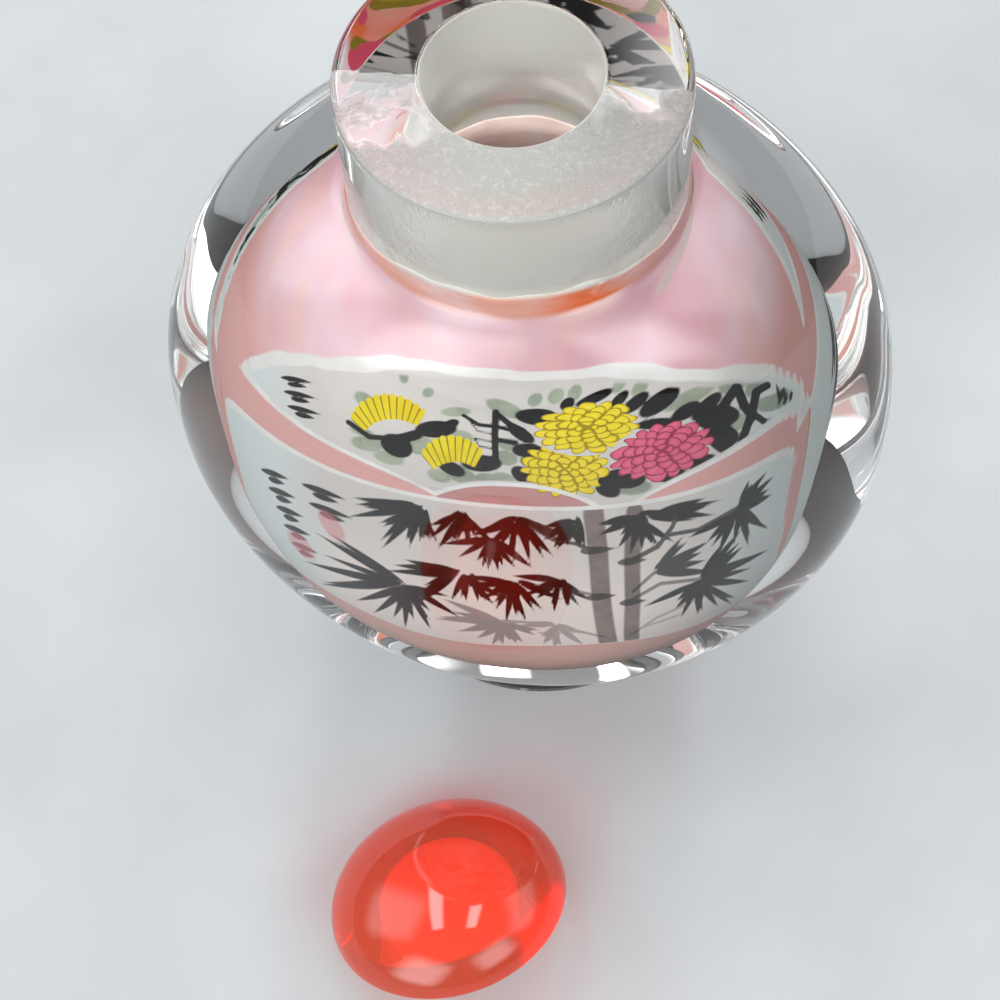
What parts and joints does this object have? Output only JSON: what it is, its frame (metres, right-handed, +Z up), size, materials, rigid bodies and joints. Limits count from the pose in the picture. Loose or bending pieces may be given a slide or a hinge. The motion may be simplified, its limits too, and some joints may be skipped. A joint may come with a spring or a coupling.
{
  "type": "snuff bottle",
  "caption": "Inside-painted clear glass snuff bottle with thick walls, an open ground neck and its red glass stopper lying in front of it.",
  "frame": {"origin": "centre of the underside of the bottle's foot", "axes": "+Z up the bottle's axis towards the mouth, +X to the right across the flat front, the chrysanthemum side facing -Y"},
  "size_m": [0.0514, 0.0553, 0.0636],
  "materials": {
    "clear_glass": "polished clear glass, ground on the rim and in the bore",
    "inside_painting": "opaque paint on the ground inner wall, pale pink with grey-cream panels",
    "red_glass": "polished red glass",
    "cork": "natural pale cork"
  },
  "bodies": {
    "root": {"bottle": "clear_glass", "stopper_dome": "red_glass", "stopper_plug": "cork"}
  },
  "joints": []
}
